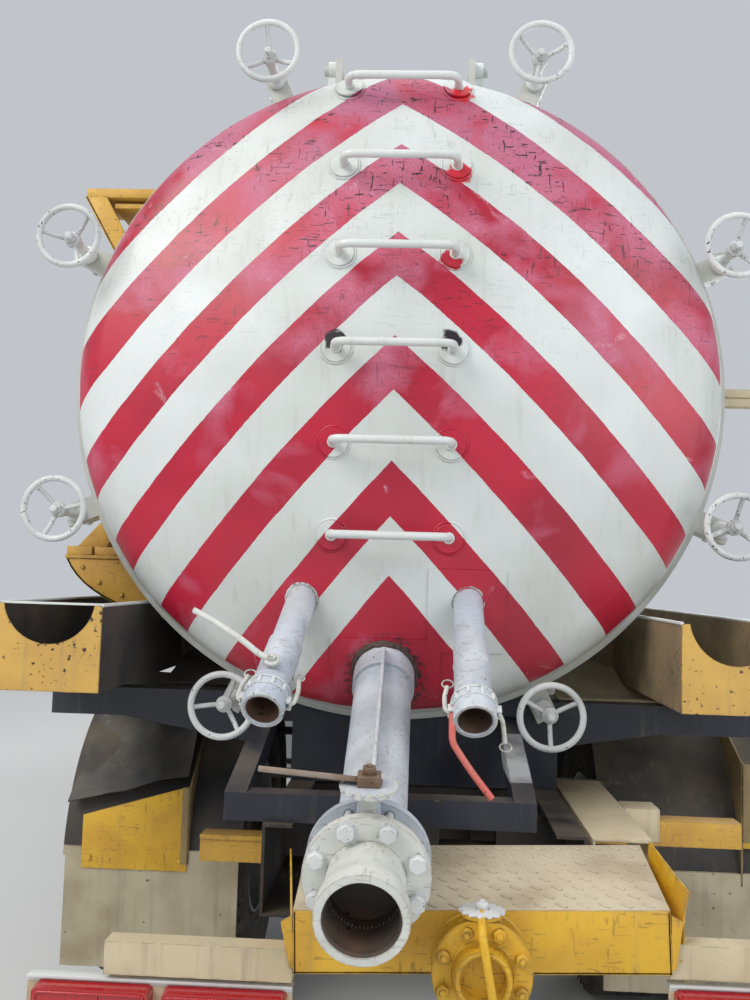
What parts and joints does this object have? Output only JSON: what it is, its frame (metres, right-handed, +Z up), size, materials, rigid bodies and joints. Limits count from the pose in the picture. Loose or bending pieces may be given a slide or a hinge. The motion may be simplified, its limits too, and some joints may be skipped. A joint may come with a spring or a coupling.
{
  "type": "vacuum tanker truck",
  "caption": "Two-axle cab-over vacuum tanker with a dished, clamped rear door carrying rungs, suction pipes and a discharge valve.",
  "frame": {"origin": "on the ground under the middle of the bounding box", "axes": "+X to the vehicle's right, +Y to the cab, +Z up; the tank door faces -Y"},
  "size_m": [2.8, 7.88, 3.3693],
  "materials": {
    "tank_white": "satin white paint with wear",
    "navy": "dark navy chassis paint, dusty",
    "chassis": "chassis paint, rust and dust",
    "yellow": "worn yellow paint",
    "beige": "dusty beige paint",
    "pipe_paint": "pale blue-grey paint",
    "rusty": "rusty steel bar",
    "cab_paint": "gloss white paint",
    "clear_glass": "clear",
    "black_plastic": "grained black plastic",
    "lamp_red": "red lamp lens",
    "lamp_clear": "clear lamp lens",
    "seat_cloth": "woven seat cloth",
    "tyre": "worn black rubber",
    "rim_steel": "grey wheel paint",
    "flap_rubber": "dusty black rubber",
    "cast": "oily cast iron"
  },
  "bodies": {
    "chassis": {"battery_box": "black_plastic", "bumper_box": "yellow", "chassis_frame": "chassis", "engine_block": "cast", "front_axle": "cast", "front_bumper": "black_plastic", "fuel_tank": "rim_steel", "headlamps": "lamp_clear", "hose_trays": "yellow", "lamp_bars": "beige", "lower_valve": "yellow", "mudguard_plates": "yellow", "prop_shaft": "cast", "rear_axle": "cast", "rear_mudguards": "flap_rubber", "subframe": "navy", "tail_lamps": "lamp_red", "tank_shell": "tank_white", "vacuum_pump": "navy"},
    "tank_door": {"rear_door": "tank_white", "door_rungs": "tank_white", "clamp_handwheels": "tank_white", "suction_pipes": "pipe_paint", "discharge_pipe": "pipe_paint", "discharge_valve": "pipe_paint", "discharge_socket": "pipe_paint", "pipe_levers": "rusty"},
    "manhole_cover": {"manhole_lid": "tank_white"},
    "cab": {"cab_shell": "cab_paint", "cab_glass": "clear_glass", "grille": "black_plastic", "mirrors": "black_plastic", "seats": "seat_cloth", "dashboard": "black_plastic"},
    "door_left": {"cab_door_left": "cab_paint", "door_glass_left": "clear_glass"},
    "door_right": {"cab_door_right": "cab_paint", "door_glass_right": "clear_glass"},
    "steer_left": {"knuckle_left": "cast"},
    "steer_right": {"knuckle_right": "cast"},
    "front_wheel_left": {"front_tyre_left": "tyre", "front_rim_left": "rim_steel"},
    "front_wheel_right": {"front_tyre_right": "tyre", "front_rim_right": "rim_steel"},
    "rear_wheels_left": {"rear_tyres_left": "tyre", "rear_rims_left": "rim_steel"},
    "rear_wheels_right": {"rear_tyres_right": "tyre", "rear_rims_right": "rim_steel"}
  },
  "joints": [
    {"name": "tank_door_swing", "type": "hinge", "parent": "chassis", "child": "tank_door", "pos_m": [-0.12, -2.67146, 3.3], "axis": [-1, 0, 0], "range_deg": [0, 85]},
    {"name": "manhole_swing", "type": "hinge", "parent": "chassis", "child": "manhole_cover", "pos_m": [-0.12, 0.4, 3.3], "axis": [-1, 0, 0], "range_deg": [0, 100]},
    {"name": "cab_tilt", "type": "hinge", "parent": "chassis", "child": "cab", "pos_m": [0, 3.775, 0.815], "axis": [-1, 0, 0], "range_deg": [0, 45]},
    {"name": "door_left_swing", "type": "hinge", "parent": "cab", "child": "door_left", "pos_m": [-1.1625, 3.5965, 1.4], "axis": [0, 0, -1], "range_deg": [0, 70]},
    {"name": "door_right_swing", "type": "hinge", "parent": "cab", "child": "door_right", "pos_m": [1.1625, 3.5965, 1.4], "axis": [0, 0, 1], "range_deg": [0, 70]},
    {"name": "steering_left", "type": "hinge", "parent": "chassis", "child": "steer_left", "pos_m": [-0.88, 2.61154, 0.522], "axis": [0, 0, 1], "range_deg": [-35, 35]},
    {"name": "steering_right", "type": "hinge", "parent": "chassis", "child": "steer_right", "pos_m": [0.88, 2.61154, 0.522], "axis": [0, 0, 1], "range_deg": [-35, 35]},
    {"name": "front_wheel_left_roll", "type": "hinge", "parent": "steer_left", "child": "front_wheel_left", "pos_m": [-1.01, 2.61154, 0.522], "axis": [1, 0, 0], "continuous": true},
    {"name": "front_wheel_right_roll", "type": "hinge", "parent": "steer_right", "child": "front_wheel_right", "pos_m": [1.01, 2.61154, 0.522], "axis": [1, 0, 0], "continuous": true},
    {"name": "rear_wheels_left_roll", "type": "hinge", "parent": "chassis", "child": "rear_wheels_left", "pos_m": [-0.92, -1.88846, 0.522], "axis": [1, 0, 0], "continuous": true},
    {"name": "rear_wheels_right_roll", "type": "hinge", "parent": "chassis", "child": "rear_wheels_right", "pos_m": [0.92, -1.88846, 0.522], "axis": [1, 0, 0], "continuous": true}
  ],
  "couplings": [
    {"joint": "steering_right", "follows": "steering_left", "ratio": 1}
  ]
}
